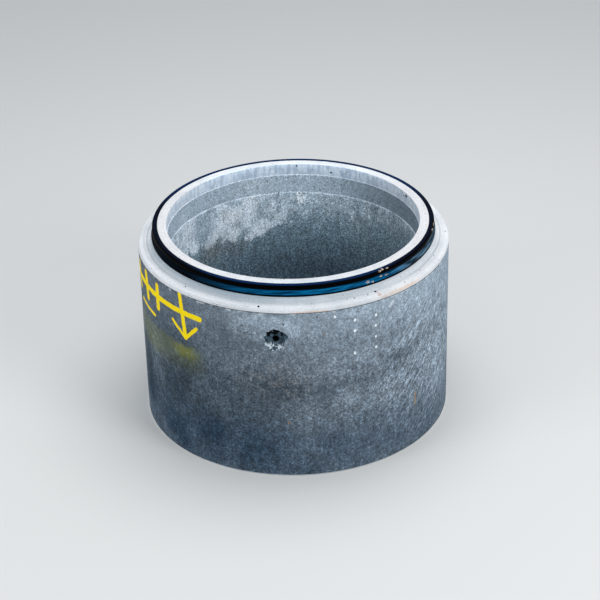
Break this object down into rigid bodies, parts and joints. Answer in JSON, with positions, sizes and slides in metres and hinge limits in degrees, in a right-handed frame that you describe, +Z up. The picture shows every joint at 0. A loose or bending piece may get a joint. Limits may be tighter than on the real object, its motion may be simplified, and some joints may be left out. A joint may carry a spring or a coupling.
{
  "type": "concrete culvert ring",
  "caption": "Precast concrete shaft ring with a spigot rim, stepped bore, socket foot and dished lifting holes, with a black rubber seal round the spigot.",
  "frame": {"origin": "centre of the foot, on the ring's axis", "axes": "+Z up along the ring's axis, from the socket foot to the spigot rim; the lifting hole seen in the picture faces 7 degrees from -Y towards -X"},
  "size_m": [1.24, 1.2396, 0.816],
  "materials": {
    "concrete": "matte",
    "seal_rubber": "satin"
  },
  "bodies": {
    "root": {"shaft_ring": "concrete", "joint_seal": "seal_rubber"}
  },
  "joints": []
}
